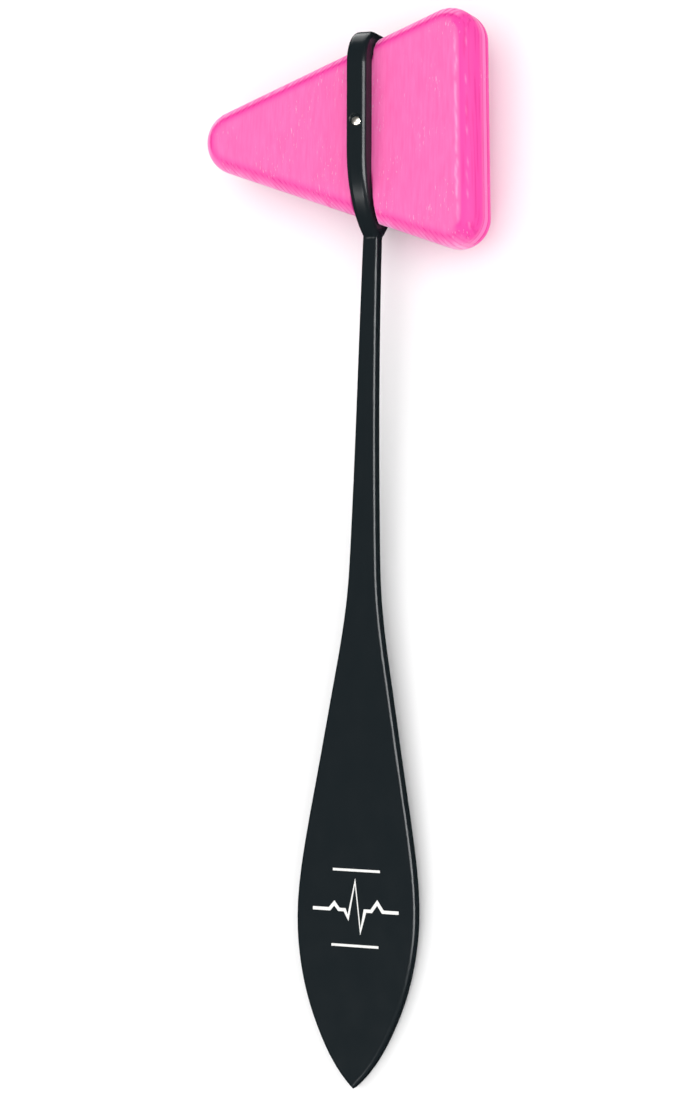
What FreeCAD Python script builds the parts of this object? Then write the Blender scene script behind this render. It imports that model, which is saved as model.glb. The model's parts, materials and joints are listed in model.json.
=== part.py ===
"""Reflex hammer: a moulded triangular head held in a one-piece cast handle by a pin.

Design frame, used until the last step: origin where the pin crosses the loop's
middle, +X towards the head's broad base, +Y up the handle, +Z out of the face.
The finished pieces are then laid on their back, as the hammer rests on a table.
All dimensions are in millimetres.
"""
import FreeCAD, Part
import math
import os

V = FreeCAD.Vector

# Handle: blade and neck
length = 190.0              # blade tip to the outside of the loop's top
loop_top = 16.8             # pin axis to the outside of the loop's top
pin_to_tip = length - loop_top
blade_thick = 2.9
blade_edge_radius = 0.6

# Half width of the handle at a distance from the blade's tip. The last point is where
# the neck ends, buried in the foot of the loop.
half_widths = [
    (0.0, 0.0), (2.7, 2.5), (10.0, 6.75), (17.0, 9.35), (24.5, 10.9), (30.5, 11.35),
    (36.5, 11.1), (43.0, 10.3), (57.0, 7.95), (71.5, 5.5), (82.0, 3.78), (89.5, 2.92),
    (98.0, 2.5), (115.0, 2.02), (133.0, 1.7), (155.2, 1.45),
]

# Handle: loop around the head
head_half_thick = 6.1       # the loop's inner faces lie on the head's two flat faces
loop_thick = 3.6            # radial thickness at the sides and the top
loop_half_depth = head_half_thick + loop_thick
loop_half_width = 1.85
inner_top_radius = 2.7
outer_top_radius = inner_top_radius + loop_thick
inner_side_end = -7.4       # below here the inner side curves in to the neck
inner_foot_radius = 12.0
outer_side_end = -5.2
outer_foot_radius = 17.0
loop_narrow_start = -3.0    # below here the loop narrows towards the neck
foot_half_width = 1.52
loop_edge_radius = 0.9
junction_radius = 1.0       # hollow where the neck's faces meet the loop's foot

# The loop and the head lean off the handle's line, and the neck bows to meet the loop
loop_lean = 1.0             # degrees, about the pin's axis
head_lean = 2.0
bow_start = 118.0           # distance from the blade's tip

# Pin and its holes
pin_dia = 1.6
recess_dia = 2.4
recess_floor_dia = 1.9
recess_depth = 0.45
recess_rise = 0.25          # how far the recess's centre is above the pin
pin_below_face = 0.1
pin_dome = 0.3

# Head
head_axis = -1.2            # height of the head's middle line, relative to the pin
apex_x = -31.25
base_x = 21.1
base_corner_radius = 5.5
side_slope = 0.376          # rise of each long side per unit of length
half_height = 15.8          # half height of the head in the loop's plane
head_edge_radius = 4.0
waist_flare = 3.4           # how far the pinch beside the loop opens out ...
waist_end = 3.8             # ... by this distance from the loop's middle plane

margin = 5.0                # how far cutting solids run past what they cut


def closed_face(edges):
    """A plane face inside a closed run of edges."""
    return Part.Face(Part.Wire(edges))


def arc(start, middle, end):
    """A circular edge through three points."""
    return Part.Arc(start, middle, end).toShape()


def bow(along):
    """Sideways shift of the handle's middle line at a distance from the blade's tip."""
    neck_end = half_widths[-1][0]
    shift = (pin_to_tip - neck_end) * math.sin(math.radians(loop_lean))
    return shift * (max(0.0, along - bow_start) / (neck_end - bow_start)) ** 2


def blade_outline():
    """Front outline of the blade and the neck, as a face in the XY plane."""
    sides = []
    for side in (1, -1):
        curve = Part.BSplineCurve()
        curve.interpolate([V(bow(along) + side * half, along - pin_to_tip, 0)
                           for along, half in half_widths])
        sides.append(curve.toShape())
    top = Part.makeLine(sides[0].lastVertex().Point, sides[1].lastVertex().Point)
    return closed_face([sides[0], top, sides[1]])


def make_blade():
    """Leaf-shaped blade and slender neck, of one thickness, with rounded edges."""
    slab = blade_outline().extrude(V(0, 0, blade_thick))
    slab.translate(V(0, 0, -blade_thick / 2))
    rims = [edge for edge in slab.Edges
            if abs(abs(edge.CenterOfMass.z) - blade_thick / 2) < 1e-4
            and edge.BoundBox.YLength > margin]
    return slab.makeFillet(blade_edge_radius, rims)


def side_foot(side_end, foot_radius, half_depth):
    """Height at which foot arcs that start at side_end meet in the middle plane."""
    turn = math.acos(1 - half_depth / foot_radius)
    return side_end - foot_radius * math.sin(turn)


def side_profile(x, grow, top_radius, side_end, foot_radius):
    """Closed wire of the loop's shape in the YZ plane at x.

    The sides are straight from the top corners down to side_end, where an arc of
    foot_radius takes each of them in to meet the other in a V.
    """
    half = head_half_thick + grow
    top = loop_top - loop_thick + grow
    turn = math.acos(1 - half / foot_radius)
    diagonal = top_radius * (1 - math.cos(math.pi / 4))

    def foot_point(angle, side):
        depth = half - foot_radius * (1 - math.cos(angle))
        return V(x, side_end - foot_radius * math.sin(angle), side * depth)

    def top_corner(side):
        return [V(x, top - top_radius, side * half),
                V(x, top - diagonal, side * (half - diagonal)),
                V(x, top, side * (half - top_radius))]

    front, back = top_corner(1), top_corner(-1)
    return Part.Wire([
        arc(foot_point(turn, 1), foot_point(turn / 2, 1), foot_point(0, 1)),
        Part.makeLine(foot_point(0, 1), front[0]),
        arc(*front),
        Part.makeLine(front[2], back[2]),
        arc(*reversed(back)),
        Part.makeLine(back[0], foot_point(0, -1)),
        arc(foot_point(0, -1), foot_point(turn / 2, -1), foot_point(turn, -1)),
    ])


def opening_wire(x, grow=0.0):
    """The loop's inner outline at x, or the same outline standing further out."""
    return side_profile(x, grow, inner_top_radius + grow, inner_side_end,
                        inner_foot_radius + grow)


def opening_solid(half_width):
    """The space inside the loop, half_width each side of its middle plane."""
    return Part.Face(opening_wire(-half_width)).extrude(V(2 * half_width, 0, 0))


def loop_front():
    """Front outline of the loop, which narrows on a long arc towards its foot."""
    foot = side_foot(outer_side_end, outer_foot_radius, loop_half_depth)
    drop = loop_narrow_start - foot
    inset = loop_half_width - foot_half_width
    radius = (drop ** 2 + inset ** 2) / (2 * inset)
    half_turn = math.asin(drop / radius) / 2
    right = [V(loop_half_width, loop_top + margin, 0),
             V(loop_half_width, loop_narrow_start, 0),
             V(loop_half_width - radius * (1 - math.cos(half_turn)),
               loop_narrow_start - radius * math.sin(half_turn), 0),
             V(foot_half_width, foot, 0)]
    left = [V(-point.x, point.y, 0) for point in right]
    return closed_face([
        Part.makeLine(right[0], right[1]), arc(*right[1:]),
        Part.makeLine(right[3], left[3]),
        arc(*reversed(left[1:])), Part.makeLine(left[1], left[0]),
        Part.makeLine(left[0], right[0]),
    ])


def make_loop():
    """Closed loop, crowned on the outside, that narrows to the neck's width."""
    reach = loop_half_width + margin
    outer_wire = side_profile(-reach, loop_thick, outer_top_radius, outer_side_end,
                              outer_foot_radius)
    block = Part.Face(outer_wire).extrude(V(2 * reach, 0, 0))
    front = loop_front().extrude(V(0, 0, 2 * (loop_half_depth + margin)))
    front.translate(V(0, 0, -loop_half_depth - margin))
    loop = block.common(front).removeSplitter().Solids[0]
    rims = [edge for edge in loop.Edges if edge.BoundBox.XLength < loop_half_width]
    rims = [edge for edge in rims if edge.Length > foot_half_width / 2]
    loop = loop.makeFillet(loop_edge_radius, rims)
    return loop.cut(opening_solid(reach))


def pin_hole():
    """The pin's bore with the shallow tapered recess around each of its ends."""
    bore = Part.makeCylinder(pin_dia / 2, 2 * (loop_half_depth + margin),
                             V(0, 0, -loop_half_depth - margin))
    for side in (1, -1):
        floor = V(0, recess_rise, side * (loop_half_depth - recess_depth))
        recess = Part.makeCone(recess_floor_dia / 2, recess_dia / 2, recess_depth,
                               floor, V(0, 0, side))
        bore = bore.fuse(recess)
    return bore


def leaned(shape, angle):
    """The shape turned by an angle, in degrees, about the pin's axis."""
    return shape.rotated(V(0, 0, 0), V(0, 0, 1), angle)


def make_handle():
    """Blade, neck and loop, cast as one piece."""
    loop = leaned(make_loop(), loop_lean)
    casting = make_blade().fuse(loop).removeSplitter().Solids[0]
    foot = side_foot(outer_side_end, outer_foot_radius, loop_half_depth)
    creases = [edge for edge in casting.Edges
               if isinstance(edge.Curve, Part.Line)
               and abs(abs(edge.CenterOfMass.z) - blade_thick / 2) < 0.01
               and foot < edge.CenterOfMass.y < foot + foot_half_width]
    return casting.makeFillet(junction_radius, creases).cut(leaned(pin_hole(), loop_lean))


def make_pin():
    """Straight steel pin through the loop and the head, with domed ends."""
    radius = pin_dia / 2
    half = loop_half_depth - pin_below_face
    wall = half - pin_dome
    sphere = (radius ** 2 + pin_dome ** 2) / (2 * pin_dome)
    turn = math.asin(radius / sphere) / 2
    mid_x, mid_z = sphere * math.sin(turn), half - sphere * (1 - math.cos(turn))
    profile = closed_face([
        arc(V(0, 0, half), V(mid_x, 0, mid_z), V(radius, 0, wall)),
        Part.makeLine(V(radius, 0, wall), V(radius, 0, -wall)),
        arc(V(radius, 0, -wall), V(mid_x, 0, -mid_z), V(0, 0, -half)),
        Part.makeLine(V(0, 0, -half), V(0, 0, half)),
    ])
    return profile.revolve(V(0, 0, 0), V(0, 0, 1), 360).Solids[0]


def head_outline():
    """Rounded triangle of the head, as a face in the XY plane."""
    lean = math.atan(side_slope)
    apex_radius = (half_height + side_slope * apex_x) / (1 / math.cos(lean) - side_slope)
    apex_centre = apex_x + apex_radius
    base_centre = base_x - base_corner_radius
    base_lift = half_height + side_slope * base_centre - base_corner_radius / math.cos(lean)
    side_normal = math.pi / 2 + lean

    def on_apex(angle, side):
        return V(apex_centre + apex_radius * math.cos(angle),
                 head_axis + side * apex_radius * math.sin(angle), 0)

    def on_corner(angle, side):
        return V(base_centre + base_corner_radius * math.cos(angle),
                 head_axis + side * (base_lift + base_corner_radius * math.sin(angle)), 0)

    return closed_face([
        arc(on_apex(side_normal, -1), on_apex(math.pi, 1), on_apex(side_normal, 1)),
        Part.makeLine(on_apex(side_normal, 1), on_corner(side_normal, 1)),
        arc(on_corner(side_normal, 1), on_corner(side_normal / 2, 1), on_corner(0, 1)),
        Part.makeLine(on_corner(0, 1), on_corner(0, -1)),
        arc(on_corner(0, -1), on_corner(side_normal / 2, -1), on_corner(side_normal, -1)),
        Part.makeLine(on_corner(side_normal, -1), on_apex(side_normal, -1)),
    ])


def make_head():
    """Triangular head, pinched to the loop's opening where the loop holds it."""
    block = head_outline().extrude(V(0, 0, 2 * head_half_thick))
    block.translate(V(0, 0, -head_half_thick))
    rims = [edge for edge in block.Edges
            if abs(abs(edge.CenterOfMass.z) - head_half_thick) < 1e-4]
    block = block.makeFillet(head_edge_radius, rims)
    reach = base_x - apex_x
    envelope = opening_solid(loop_half_width)
    for side in (1, -1):
        near = opening_wire(side * loop_half_width)
        far = opening_wire(side * waist_end, waist_flare)
        envelope = envelope.fuse(Part.makeLoft([near, far], True, True))
        room = Part.makeBox(reach, 2 * reach, 2 * reach)
        start = waist_end if side > 0 else -waist_end - reach
        room.translate(V(start, -reach, -reach))
        envelope = envelope.fuse(room)
    bore = Part.makeCylinder(pin_dia / 2, 2 * reach, V(0, 0, -reach))
    block = leaned(block, head_lean)
    return block.common(leaned(envelope, loop_lean)).cut(bore).removeSplitter()


def rest_angle():
    """Tilt, in degrees, of the line from the blade's tip to the back of the loop."""
    tip = (-pin_to_tip, -blade_thick / 2)
    centre = (outer_side_end, outer_foot_radius - loop_half_depth)
    along = centre[0] - tip[0]
    above = centre[1] - tip[1]
    tangent = math.asin(outer_foot_radius / math.hypot(along, above))
    return math.degrees(tangent - math.atan2(above, along))


def main():
    os.makedirs("parts", exist_ok=True)
    pieces = {"handle": make_handle(), "head": make_head(), "pin": make_pin()}
    for shape in pieces.values():
        shape.rotate(V(0, 0, 0), V(1, 0, 0), rest_angle())
    box = Part.makeCompound(list(pieces.values())).optimalBoundingBox(False)
    to_table = V(-box.Center.x, -box.Center.y, -box.ZMin)
    for node, shape in pieces.items():
        shape.translate(to_table)
        shape.exportStep(f"parts/{node}.step")
        print(node, shape.isValid(), len(shape.Solids), round(shape.Volume, 1))
    print("tilt", round(rest_angle(), 3), "shift", to_table)
    print("box", box.XLength, box.YLength, box.ZLength)


main()
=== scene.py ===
"""Reflex hammer: a pink ribbed rubber head in the loop of a black, leaf-bladed metal handle.

The head is a new mesh around the CAD head, and the mark printed on the blade is a new mesh
too. The handle and the pin are the CAD nodes themselves with better materials. Sizes are in
millimetres in the design frame: the origin is where the pin crosses the loop's middle, +X
points to the head's broad base, +Y up the handle, +Z out of the hammer's face. The floor
and the sizes and distances of the lights are in metres.
"""

import json
import math

import bmesh
import bpy
from mathutils import Matrix, Vector, noise


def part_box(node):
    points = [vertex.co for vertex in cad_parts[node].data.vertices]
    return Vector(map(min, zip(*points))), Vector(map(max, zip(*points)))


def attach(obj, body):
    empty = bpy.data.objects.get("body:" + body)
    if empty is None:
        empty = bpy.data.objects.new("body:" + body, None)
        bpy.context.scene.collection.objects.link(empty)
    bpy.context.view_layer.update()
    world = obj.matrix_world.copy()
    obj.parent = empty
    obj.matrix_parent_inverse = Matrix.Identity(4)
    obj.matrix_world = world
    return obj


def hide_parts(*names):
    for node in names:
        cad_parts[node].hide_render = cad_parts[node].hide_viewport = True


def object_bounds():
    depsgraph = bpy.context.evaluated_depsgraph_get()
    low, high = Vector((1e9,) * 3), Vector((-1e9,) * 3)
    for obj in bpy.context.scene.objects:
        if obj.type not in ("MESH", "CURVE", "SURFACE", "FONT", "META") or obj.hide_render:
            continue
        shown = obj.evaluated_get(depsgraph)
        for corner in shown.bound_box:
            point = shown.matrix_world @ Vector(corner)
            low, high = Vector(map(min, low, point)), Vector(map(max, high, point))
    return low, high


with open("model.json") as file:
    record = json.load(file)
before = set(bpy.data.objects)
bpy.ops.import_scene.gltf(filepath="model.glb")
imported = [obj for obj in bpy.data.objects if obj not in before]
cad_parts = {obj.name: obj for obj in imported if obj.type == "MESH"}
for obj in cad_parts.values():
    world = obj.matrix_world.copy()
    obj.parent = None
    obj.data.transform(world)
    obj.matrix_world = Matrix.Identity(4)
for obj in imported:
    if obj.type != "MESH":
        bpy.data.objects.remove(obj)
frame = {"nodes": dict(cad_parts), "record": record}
cad_low, cad_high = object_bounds()

MM = 0.001

# Head, as in the CAD
HEAD_AXIS = -1.2
HEAD_LEAN = math.radians(2.0)
APEX_X = -31.25
BASE_X = 21.1
CORNER_RADIUS = 5.5
SIDE_SLOPE = 0.376
HALF_HEIGHT = 15.8
HALF_THICK = 6.1
EDGE_RADIUS = 4.0

# The loop's opening, which pinches the head
OPENING_TOP = 13.2
OPENING_TOP_RADIUS = 2.7
OPENING_SIDE_END = -7.4
OPENING_FOOT_RADIUS = 12.0
LOOP_LEAN = math.radians(1.0)
PINCH_START = 1.95
PINCH_REACH = 3.8
PINCH_FLARE = 3.4

# Moulded relief of the head: ribs round its sides, a line inside its rims, and on its base
# two seams with a band between them, which is painted paler as painted sheen
RIB_PITCH = 1.1
RIB_DEPTH = 0.07
LINE_BEND = 0.64
LINE_DEPTH = 0.06
STRIP_HALF = 1.15
SEAM_DEPTH = 0.09
BEAD_X = BASE_X - EDGE_RADIUS + 0.5
BEAD_HEIGHT = 0.05
# A painted highlight line runs down the base here, with no relief of its own
HIGHLIGHT_DASH_X = BASE_X - EDGE_RADIUS + 2.3
STREAK_HEIGHT = 0.008

# Mesh of the head: columns along it, and steps round a quarter of its section
COLUMNS_PER_RIB = 8
APEX_COLUMNS = 24
BASE_COLUMNS = 32
WALL_STEPS = 10
ROUND_STEPS = 24
FACE_STEPS = 14

# Printed mark on the blade
BLADE_HALF_THICK = 1.45
PRINT_Y = -141.0
PRINT_THICK = 0.02
PULSE_WIDTH = 0.6
BAR_WIDTH = 0.45
BAR_HALF_LENGTH = 4.5
BAR_HEIGHTS = (7.2, -6.4)
PULSE = [
    (-8.2, 0.0), (-5.0, 0.0), (-4.1, 1.1), (-3.2, 0.0), (-2.1, 0.0), (-1.4, -1.4),
    (-0.2, 5.2), (1.0, -3.8), (1.8, 0.0), (3.0, 0.0), (4.1, 1.6), (5.2, 0.0), (8.2, 0.0),
]

# Camera: turned from the hammer's face towards the head's base, aimed below the pin
CAMERA_YAW = math.radians(20.0)
CAMERA_ROLL = math.radians(1.1)
CAMERA_DISTANCE = 510.0
AIM_BELOW_PIN = 75.6
AIM_TO_APEX = 2.75
CAMERA_LENS = 92.96

# Studio, in metres
FLOOR_SIZE = 6.0
LIGHT_DISTANCE = 0.9
WORLD_STRENGTH = 0.72


# ---------------------------------------------------------------- design frame

def design_frame():
    """Matrix from design millimetres to the row frame."""
    mounts = {mount["name"]: mount for mount in frame["record"]["mounts"]}
    normal = Vector(mounts["blade_front"]["axis"])
    tilt = math.atan2(-normal.y, normal.z)
    low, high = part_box("pin")
    return Matrix.Translation((low + high) / 2) @ Matrix.Rotation(tilt, 4, "X")


TO_ROW = design_frame()


def place(x, y, z):
    """A point given in design millimetres, in the row frame."""
    return TO_ROW @ Vector((x * MM, y * MM, z * MM))


def direction(x, y, z):
    """A unit direction of the design frame, in the row frame."""
    return (TO_ROW.to_3x3() @ Vector((x, y, z))).normalized()


def smooth(value, low, high):
    """0 below low, 1 above high, and a smooth step between them."""
    share = min(1.0, max(0.0, (value - low) / (high - low)))
    return share * share * (3 - 2 * share)


# ---------------------------------------------------------------- head mesh

LEAN = math.atan(SIDE_SLOPE)
APEX_RADIUS = (HALF_HEIGHT + SIDE_SLOPE * APEX_X) / (1 / math.cos(LEAN) - SIDE_SLOPE)
APEX_CENTRE = APEX_X + APEX_RADIUS
CORNER_X = BASE_X - CORNER_RADIUS
CORNER_Y = HALF_HEIGHT + SIDE_SLOPE * CORNER_X - CORNER_RADIUS / math.cos(LEAN)
WALL_HALF = HALF_THICK - EDGE_RADIUS


def half_height(x, inset):
    """Half height at x of the head's outline, moved inwards by inset."""
    apex = APEX_RADIUS - inset
    corner = CORNER_RADIUS - inset
    if x < APEX_CENTRE - apex * math.sin(LEAN):
        return math.sqrt(max(0.0, apex ** 2 - (x - APEX_CENTRE) ** 2))
    if x > CORNER_X - corner * math.sin(LEAN):
        return CORNER_Y + math.sqrt(max(0.0, corner ** 2 - (x - CORNER_X) ** 2))
    return HALF_HEIGHT + SIDE_SLOPE * x - inset / math.cos(LEAN)


def quarter_section(x):
    """Upper front quarter of the head's section at x, from the side wall to the face."""
    reach = min(EDGE_RADIUS, BASE_X - x, x - APEX_X)
    turn = math.acos(1 - reach / EDGE_RADIUS)
    points = [(half_height(x, 0), WALL_HALF * i / WALL_STEPS) for i in range(WALL_STEPS)]
    for i in range(ROUND_STEPS):
        angle = turn * i / ROUND_STEPS
        inset = EDGE_RADIUS * (1 - math.cos(angle))
        points.append((half_height(x, inset), WALL_HALF + EDGE_RADIUS * math.sin(angle)))
    top = WALL_HALF + EDGE_RADIUS * math.sin(turn)
    wide = half_height(x, reach)
    points += [(wide * (1 - i / FACE_STEPS), top) for i in range(FACE_STEPS + 1)]
    return points


def opening_distance(y, z):
    """How far a point of a section lies outside the loop's opening."""
    z = abs(z)
    if y < OPENING_SIDE_END:
        centre = HALF_THICK - OPENING_FOOT_RADIUS
        return math.hypot(y - OPENING_SIDE_END, z - centre) - OPENING_FOOT_RADIUS
    up = y - (OPENING_TOP - OPENING_TOP_RADIUS)
    out = z - (HALF_THICK - OPENING_TOP_RADIUS)
    inside = min(max(up, out), 0.0)
    return math.hypot(max(up, 0.0), max(out, 0.0)) + inside - OPENING_TOP_RADIUS


def pinched(x, y, z):
    """The head's point drawn in to the loop's opening, close to the loop."""
    turn = Matrix.Rotation(HEAD_LEAN - LOOP_LEAN, 2)
    across, up = turn @ Vector((x, y))
    away = max(0.0, abs(across) - PINCH_START) / (PINCH_REACH - PINCH_START)
    if away >= 1:
        return x, y, z
    allowed = PINCH_FLARE * math.sqrt(1 - (1 - away) ** 2)
    probe = 0.01
    for _ in range(3):
        excess = opening_distance(up, z) - allowed
        if excess <= 0:
            break
        rise_up = opening_distance(up + probe, z) - opening_distance(up - probe, z)
        rise_out = opening_distance(up, z + probe) - opening_distance(up, z - probe)
        up -= excess * rise_up / (2 * probe)
        z -= excess * rise_out / (2 * probe)
    x, y = turn.transposed() @ Vector((across, up))
    return x, y, z


def head_columns():
    """X positions of the head's sections, closer together at its two rounded ends."""
    low, high = APEX_X + EDGE_RADIUS, BASE_X - EDGE_RADIUS
    count = round((high - low) / RIB_PITCH * COLUMNS_PER_RIB)
    turns = [math.pi / 2 * i / APEX_COLUMNS for i in range(APEX_COLUMNS)]
    columns = [APEX_X + EDGE_RADIUS * (1 - math.cos(turn)) for turn in turns]
    columns += [low + (high - low) * i / count for i in range(count)]
    turns = [math.pi / 2 * i / BASE_COLUMNS for i in range(BASE_COLUMNS + 1)]
    columns += [high + EDGE_RADIUS * math.sin(turn) for turn in turns]
    return columns


def bell(value, centre, width):
    """Smooth bump of height 1 at centre."""
    return math.exp(-((value - centre) / width) ** 2)


def wave(x, y, z):
    """Smooth noise from about -1 to 1."""
    return noise.noise(Vector((x, y, z))) * 1.6


def side_marks(point, steep, bend, upper, on_side):
    """Shares of a rib's valley, of the line inside the rounding, and of painted sheen on the
    ribbed edge outside it.

    steep and bend are the sine and the angle of the surface's turn away from the flat
    faces. upper is 1 where the surface faces +Y, and on_side is 1 on the two long sides.
    """
    x, y, z = point
    phase = (x - EDGE_RADIUS * steep) / RIB_PITCH + 0.25 * wave(x * 0.35, y * 0.12, z * 0.2)
    valley = (1 - abs(math.sin(math.pi * phase))) ** 1.6
    rib = valley * (0.75 + 0.5 * wave(x * 0.6, y * 0.05, 3.0)) * on_side
    rib *= smooth(steep, 0.42, 0.6) * (0.65 + 0.35 * upper)
    line = bell(bend, LINE_BEND, 0.09) * (0.3 + 1.1 * valley)
    line *= (0.8 + 0.4 * wave(x * 1.4, y * 0.5, 7.0)) * (0.35 + 0.65 * upper)
    # Painted sheen along the ribbed edge, less of it in the rib valleys
    rope_sheen = smooth(bend, 0.66, 0.8) * upper + smooth(bend, 0.55, 1.4) * (1 - upper)
    rope_sheen *= 0.85 - (0.4 + 0.4 * upper) * valley * on_side + 0.4 * wave(x * 0.9, y * 0.2, 5.0)
    return rib, line, rope_sheen


def base_marks(point, steep, bend):
    """Shares of a seam, of painted sheen on the band between the seams, and of dark dashes on
    the base, and of a raised bead and a painted highlight line by it; the bead gets painted
    highlight too.
    """
    x, y, z = point
    wander = 0.3 * wave(y * 0.35, 11.0, 0.0) + 0.15 * wave(y * 1.1, 4.0, 0.0)
    upright = smooth(steep, 0.9, 0.98)
    seam = upright * bell(abs(z), STRIP_HALF + 0.4 * wander, 0.2)
    strip_sheen = upright * smooth(abs(z), STRIP_HALF + 0.1, STRIP_HALF - 0.2)
    dark_dashes = smooth(bend, 0.25, 0.5) * smooth(abs(z), STRIP_HALF, STRIP_HALF + 0.5)
    dark_dashes *= smooth(wave(x * 2.2, y * 0.12, z * 2.2), 0.15, 0.6)
    bead = bell(x, BEAD_X + wander, 0.2) * smooth(steep, 0.6, 0.3)
    bead *= smooth(abs(y - HEAD_AXIS), 18.0, 14.0) * smooth(wave(y * 0.5, 8.0, 0.0), -0.5, 0.1)
    highlight_dash = bell(x, HIGHLIGHT_DASH_X + 0.5 * wander, 0.13) * smooth(steep, 0.95, 0.6)
    highlight_dash *= smooth(wave(y * 0.7, 5.0, 0.0), 0.0, 0.3)
    return seam, strip_sheen, dark_dashes, bead, highlight_dash


def relief(point, normal):
    """Height in mm of the moulded relief at a point, and shares of its three tints.

    The tints are, in this order, a deeper pink of painted shade on the roundings, a light pink
    of painted highlight and sheen on raised and outermost places, and a dark pink of painted
    shade in the valleys, which also marks dark dashes on the base.
    """
    x, y, z = point
    steep = math.hypot(normal.x, normal.y)
    bend = math.asin(min(1.0, steep))
    outward = Vector((normal.x, normal.y)) / max(steep, 0.01)
    on_base = smooth(outward.x, 0.3, 0.7)
    off_base = 1 - on_base
    on_side = off_base * (1 - smooth(-outward.x, 0.5, 0.7))
    upper = smooth(outward.y, -0.9, 0.3)
    rib, line, rope_sheen = side_marks(point, steep, bend, upper, on_side)
    seam, strip_sheen, dark_dashes, bead, highlight_dash = base_marks(point, steep, bend)
    streak = wave(x * 2.6, y * 0.16, z * 0.1) * smooth(steep, 0.7, 0.4)
    sunk = RIB_DEPTH * rib + LINE_DEPTH * off_base * line + SEAM_DEPTH * on_base * seam
    height = BEAD_HEIGHT * bead + STREAK_HEIGHT * streak - sunk
    # Painted shade: a deeper pink on the roundings, more of it on the upper side
    rim_shade = on_base * smooth(bend, 0.2, 0.36)
    rim_shade += off_base * smooth(bend, 0.2, 0.6) * (0.6 + 0.4 * upper)
    # Painted highlight and sheen: a lighter pink on the ribbed edges, the band on the base, the
    # bead and the line by it
    pale = 0.4 * on_base * strip_sheen + off_base * rope_sheen + 0.8 * bead + 0.5 * highlight_dash
    # Painted shade in rib valleys, in the line inside the rounding and in the seams; the dark
    # dashes on the base get the same dark pink
    groove_shade = 0.8 * rib + 1.2 * off_base * line + on_base * (seam + 0.6 * dark_dashes)
    return height, (rim_shade, pale, groove_shade)


def close_base(mesh, ring):
    """Grid of faces over the flat of the head's base, inside its last section."""
    first, half, rows = WALL_STEPS + ROUND_STEPS, len(ring) // 2, 2 * WALL_STEPS
    top_wall = [ring[i] for i in range(WALL_STEPS - 1, -WALL_STEPS, -1)]
    foot_wall = [ring[half + i] for i in range(1 - WALL_STEPS, WALL_STEPS)]
    columns = [[ring[first], *top_wall, ring[-first]]]
    for k in range(first + 1, half - first):
        front, back = ring[k], ring[-k]
        inner = [mesh.verts.new(front.co.lerp(back.co, row / rows)) for row in range(1, rows)]
        columns.append([front, *inner, back])
    columns.append([ring[half - first], *foot_wall, ring[half + first]])
    for here, there in zip(columns, columns[1:]):
        for i in range(rows):
            mesh.faces.new((here[i], here[i + 1], there[i + 1], there[i]))


def join_rings(mesh, rings):
    """Faces between neighbouring closed rings of vertices."""
    for here, there in zip(rings, rings[1:]):
        for i in range(len(here)):
            j = (i + 1) % len(here)
            mesh.faces.new((here[i], here[j], there[j], there[i]))


def add_object(mesh, name):
    """Turns a bmesh into an object of the scene."""
    data = bpy.data.meshes.new(name)
    mesh.to_mesh(data)
    mesh.free()
    obj = bpy.data.objects.new(name, data)
    bpy.context.scene.collection.objects.link(obj)
    return obj


def make_head():
    """Ribbed rubber head, built from sections across its long direction."""
    mesh = bmesh.new()
    rings = []
    for x in head_columns():
        quarter = quarter_section(x)
        front = quarter + [(-y, z) for y, z in reversed(quarter[:-1])]
        outline = front + [(y, -z) for y, z in reversed(front[1:-1])]
        rings.append([mesh.verts.new(pinched(x, y + HEAD_AXIS, z)) for y, z in outline])
    join_rings(mesh, rings)
    close_base(mesh, rings[-1])
    bmesh.ops.remove_doubles(mesh, verts=mesh.verts, dist=1e-4)
    bmesh.ops.dissolve_degenerate(mesh, edges=mesh.edges, dist=1e-4)
    bmesh.ops.recalc_face_normals(mesh, faces=mesh.faces)
    mesh.normal_update()
    layers = [mesh.verts.layers.float.new(name) for name in ("rim_shade", "pale", "groove_shade")]
    moves = []
    for vertex in mesh.verts:
        height, tints = relief(vertex.co, vertex.normal)
        for layer, tint in zip(layers, tints):
            vertex[layer] = min(1.0, max(0.0, tint))
        moves.append(vertex.normal * height)
    for vertex, move in zip(mesh.verts, moves):
        vertex.co += move
    mesh.transform(TO_ROW @ Matrix.Scale(MM, 4) @ Matrix.Rotation(HEAD_LEAN, 4, "Z"))
    for face in mesh.faces:
        face.smooth = True
    return add_object(mesh, "rubber_head")


# ---------------------------------------------------------------- printed mark

def stroke(mesh, points, width, low, high):
    """Closed solid ribbon of a width along points in the XY plane, from height low to high."""
    path = [Vector(point) for point in points]
    rings = []
    for i, point in enumerate(path):
        before = (point - path[i - 1]).normalized() if i else None
        after = (path[i + 1] - point).normalized() if i < len(path) - 1 else None
        before, after = before or after, after or before
        side = Vector((-before.y - after.y, before.x + after.x)).normalized()
        reach = min(width, width / 2 / side.dot(Vector((-after.y, after.x))))
        corners = [(point + side * reach, low), (point - side * reach, low),
                   (point - side * reach, high), (point + side * reach, high)]
        rings.append([mesh.verts.new((flat.x, flat.y, z)) for flat, z in corners])
    join_rings(mesh, rings)
    mesh.faces.new(rings[0])
    mesh.faces.new(rings[-1])


def make_print():
    """Plain pulse line between two bars, printed on the blade where it is widest."""
    mesh = bmesh.new()
    stroke(mesh, PULSE, PULSE_WIDTH, -PRINT_THICK, PRINT_THICK)
    for height in BAR_HEIGHTS:
        bar = [(-BAR_HALF_LENGTH, height), (BAR_HALF_LENGTH, height)]
        stroke(mesh, bar, BAR_WIDTH, -PRINT_THICK, PRINT_THICK)
    bmesh.ops.recalc_face_normals(mesh, faces=mesh.faces)
    middle = Matrix.Translation(place(0.0, PRINT_Y, BLADE_HALF_THICK))
    mesh.transform(middle @ TO_ROW.to_3x3().to_4x4() @ Matrix.Scale(MM, 4))
    return add_object(mesh, "blade_print")


# ---------------------------------------------------------------- materials

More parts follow.
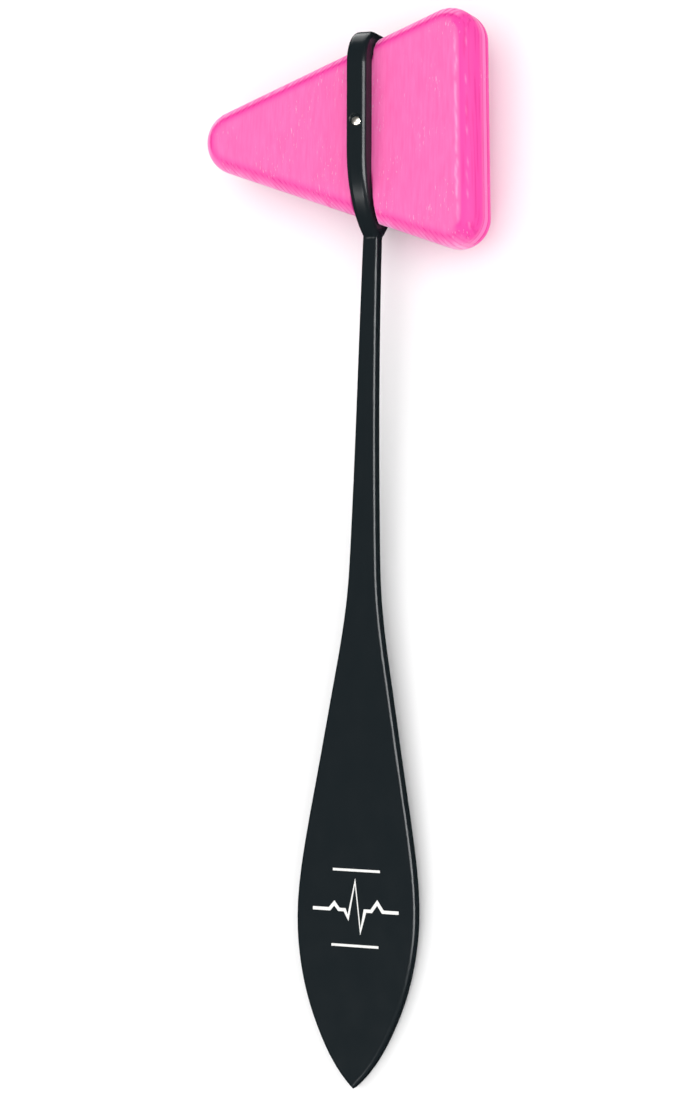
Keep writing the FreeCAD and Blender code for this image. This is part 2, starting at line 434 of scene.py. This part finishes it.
def new_material(name):
    """A node material with its Principled shader, and the node tree."""
    material = bpy.data.materials.new(name)
    material.use_nodes = True
    return material, material.node_tree, material.node_tree.nodes["Principled BSDF"]


def set_inputs(shader, **values):
    """Sets a shader's sockets by name, with underscores for spaces."""
    for name, value in values.items():
        shader.inputs[name.replace("_", " ")].default_value = value


def stretched_noise(tree, grain, detail):
    """A noise texture over the row frame, with a grain in mm along each axis."""
    nodes, links = tree.nodes, tree.links
    coords = nodes.new("ShaderNodeTexCoord")
    mapping = nodes.new("ShaderNodeMapping")
    mapping.inputs["Scale"].default_value = [1 / (MM * size) for size in grain]
    texture = nodes.new("ShaderNodeTexNoise")
    set_inputs(texture, Scale=1.0, Detail=detail, Roughness=0.6)
    links.new(coords.outputs["Object"], mapping.inputs["Vector"])
    links.new(mapping.outputs["Vector"], texture.inputs["Vector"])
    return texture.outputs["Fac"]


def ramp(tree, value, stops):
    """A colour ramp over value, with stops as (position, colour)."""
    node = tree.nodes.new("ShaderNodeValToRGB")
    while len(node.color_ramp.elements) < len(stops):
        node.color_ramp.elements.new(0.5)
    for element, (position, colour) in zip(node.color_ramp.elements, stops):
        element.position = position
        element.color = (*colour, 1.0)
    tree.links.new(value, node.inputs["Fac"])
    return node.outputs["Color"]


def add_bump(tree, shader, height, distance, strength, after=None):
    """Bumps the shader's normal by a height field, distance in mm, on top of another bump."""
    node = tree.nodes.new("ShaderNodeBump")
    node.inputs["Distance"].default_value = distance * MM
    node.inputs["Strength"].default_value = strength
    tree.links.new(height, node.inputs["Height"])
    if after is not None:
        tree.links.new(after, node.inputs["Normal"])
    tree.links.new(node.outputs["Normal"], shader.inputs["Normal"])
    return node.outputs["Normal"]


def attribute(tree, name):
    """A mesh attribute's value."""
    node = tree.nodes.new("ShaderNodeAttribute")
    node.attribute_name = name
    return node.outputs["Fac"]


def mix(tree, share, first, second):
    """Colour that goes from first to second as share goes from 0 to 1."""
    node = tree.nodes.new("ShaderNodeMix")
    node.data_type = "RGBA"
    tree.links.new(share, node.inputs["Factor"])
    for socket, value in ((node.inputs[6], first), (node.inputs[7], second)):
        if isinstance(value, tuple):
            socket.default_value = (*value, 1.0)
        else:
            tree.links.new(value, socket)
    return node.outputs[2]


def times(tree, first, second):
    """Product of two values, each a socket or a number."""
    node = tree.nodes.new("ShaderNodeMath")
    node.operation = "MULTIPLY"
    for socket, value in zip(node.inputs, (first, second)):
        if isinstance(value, float):
            socket.default_value = value
        else:
            tree.links.new(value, socket)
    return node.outputs[0]


def rubber_material():
    """Waxy pink rubber: painted shade deepens it on its rims and in its grooves, painted
    highlight and sheen lighten its edges, and painted glints make whitish vertical flecks.
    """
    material, tree, shader = new_material("pink_rubber")
    set_inputs(shader, Roughness=0.5, Specular_IOR_Level=0.02)
    set_inputs(shader, Sheen_Weight=0.5, Sheen_Roughness=0.3)
    shader.inputs["Sheen Tint"].default_value = (1.0, 0.78, 0.9, 1.0)
    streaks = stretched_noise(tree, (0.5, 5.0, 2.0), 3.0)
    face = ramp(tree, streaks, [(0.3, (0.92, 0.137, 0.418)), (0.7, (0.96, 0.178, 0.48))])
    # Painted shade: a deeper pink on the roundings
    colour = mix(tree, attribute(tree, "rim_shade"), face, (0.93, 0.068, 0.39))
    # Painted glints: whitish vertical flecks in patches, which are also bumped below
    dashes = stretched_noise(tree, (0.26, 1.3, 1.3), 2.0)
    patches = stretched_noise(tree, (7.0, 9.0, 9.0), 1.0)
    where = ramp(tree, patches, [(0.5, (0, 0, 0)), (0.62, (1, 1, 1))])
    glint_flecks = times(tree, ramp(tree, dashes, [(0.62, (0, 0, 0)), (0.7, (1, 1, 1))]), where)
    colour = mix(tree, times(tree, glint_flecks, 0.45), colour, (1.0, 0.6, 0.86))
    # Painted highlight and sheen on the ribbed edges, the base band and the bead
    colour = mix(tree, times(tree, attribute(tree, "pale"), 0.6), colour, (1.0, 0.5, 0.8))
    # Painted shade in the valleys, and the same dark pink on dashes of the base
    colour = mix(tree, times(tree, attribute(tree, "groove_shade"), 0.75), colour, (0.72, 0.02, 0.24))
    tree.links.new(colour, shader.inputs["Base Color"])
    fine = add_bump(tree, shader, streaks, 0.06, 0.6)
    add_bump(tree, shader, glint_flecks, 0.06, 0.8, after=fine)
    return material


def coating_material():
    """Semi-gloss black coat with a faint blue-green cast."""
    material, tree, shader = new_material("black_coat")
    shader.inputs["Base Color"].default_value = (0.0103, 0.0149, 0.0175, 1.0)
    shader.inputs["Specular IOR Level"].default_value = 0.06
    blotch = stretched_noise(tree, (3.0, 6.0, 3.0), 3.0)
    rough = ramp(tree, blotch, [(0.3, (0.2, 0.2, 0.2)), (0.7, (0.27, 0.27, 0.27))])
    tree.links.new(rough, shader.inputs["Roughness"])
    grain = stretched_noise(tree, (0.25, 0.25, 0.25), 2.0)
    add_bump(tree, shader, grain, 0.004, 0.4)
    return material


def steel_material():
    """Bright turned steel with a warm cast."""
    material, tree, shader = new_material("pin_steel")
    set_inputs(shader, Metallic=1.0, Base_Color=(0.72, 0.69, 0.62, 1.0))
    turned = stretched_noise(tree, (0.15, 0.15, 2.0), 2.0)
    rough = ramp(tree, turned, [(0.3, (0.3, 0.3, 0.3)), (0.7, (0.42, 0.42, 0.42))])
    tree.links.new(rough, shader.inputs["Roughness"])
    return material


def print_material():
    """Thin matt white ink, slightly uneven."""
    material, tree, shader = new_material("white_ink")
    uneven = stretched_noise(tree, (0.4, 0.4, 0.4), 3.0)
    ink = ramp(tree, uneven, [(0.35, (0.8, 0.8, 0.78)), (0.65, (0.9, 0.9, 0.88))])
    tree.links.new(ink, shader.inputs["Base Color"])
    set_inputs(shader, Roughness=0.55, Specular_IOR_Level=0.1)
    add_bump(tree, shader, uneven, 0.005, 0.5)
    return material


def dress(obj, material):
    """Gives an object one material in place of any that it has."""
    obj.data.materials.clear()
    obj.data.materials.append(material)


# ---------------------------------------------------------------- studio

def make_floor():
    """Plain pale floor under the hammer."""
    bpy.ops.mesh.primitive_plane_add(size=FLOOR_SIZE, location=(0, 0, 0))
    floor = bpy.context.object
    floor.name = "floor"
    material, _, shader = new_material("floor_white")
    set_inputs(shader, Base_Color=(0.93, 0.93, 0.93, 1.0), Roughness=0.9)
    dress(floor, material)
    floor.visible_glossy = False


def area_light(name, towards, size, radiance, gloss_only=True):
    """Soft rectangular light in a design direction, facing the hammer's middle.

    A gloss-only light shows as a highlight and otherwise lights nothing. Any other light
    does the opposite, so the brightness of the surfaces and of the highlights stay apart.
    """
    data = bpy.data.lights.new(name, "AREA")
    data.shape = "RECTANGLE"
    data.size, data.size_y = size
    data.energy = radiance * math.pi * size[0] * size[1]
    light = bpy.data.objects.new(name, data)
    away = direction(*towards)
    light.location = (cad_low + cad_high) / 2 + away * LIGHT_DISTANCE
    light.rotation_euler = away.to_track_quat("Z", "Y").to_euler()
    light.visible_camera = False
    light.visible_diffuse = not gloss_only
    light.visible_glossy = gloss_only
    bpy.context.scene.collection.objects.link(light)


def make_lights():
    """One big soft light from above, and softboxes that only show as highlights."""
    area_light("overhead", (-0.1, 0.1, 1.0), (1.3, 1.3), 1.2, gloss_only=False)
    area_light("right_box", (0.86, 0.0, 0.51), (0.65, 0.9), 52.0)
    area_light("top_box", (-0.2, 0.93, -0.3), (0.8, 0.7), 6.0)
    area_light("foot_spot", (-0.12, -0.67, 0.72), (0.14, 0.14), 420.0)


def make_world():
    """Plain pale surroundings, which don't show in reflections."""
    world = bpy.data.worlds.new("studio")
    bpy.context.scene.world = world
    world.use_nodes = True
    background = world.node_tree.nodes["Background"]
    background.inputs["Color"].default_value = (1.0, 1.0, 1.0, 1.0)
    background.inputs["Strength"].default_value = WORLD_STRENGTH
    world.cycles_visibility.glossy = False


def make_camera():
    """Camera above the hammer, turned from its face towards the head's base."""
    right = Vector((math.cos(CAMERA_YAW), 0.0, -math.sin(CAMERA_YAW)))
    back = Vector((math.sin(CAMERA_YAW), 0.0, math.cos(CAMERA_YAW)))
    aim = Vector((0.0, -AIM_BELOW_PIN, 0.0)) - AIM_TO_APEX * right
    position = aim + CAMERA_DISTANCE * back
    axes = Matrix((right, Vector((0.0, 1.0, 0.0)), back)).transposed().to_4x4()
    data = bpy.data.cameras.new("camera")
    data.lens = CAMERA_LENS
    camera = bpy.data.objects.new("camera", data)
    turned = TO_ROW.to_3x3().to_4x4() @ axes @ Matrix.Rotation(CAMERA_ROLL, 4, "Z")
    camera.matrix_world = Matrix.Translation(place(*position)) @ turned
    bpy.context.scene.collection.objects.link(camera)
    bpy.context.scene.camera = camera


# ---------------------------------------------------------------- assembly

make_camera()
make_world()
make_lights()
make_floor()

head = make_head()
dress(head, rubber_material())
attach(head, "root")
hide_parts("head")

mark = make_print()
dress(mark, print_material())
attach(mark, "root")

dress(frame["nodes"]["handle"], coating_material())
dress(frame["nodes"]["pin"], steel_material())

bpy.context.scene.view_settings.view_transform = "Standard"
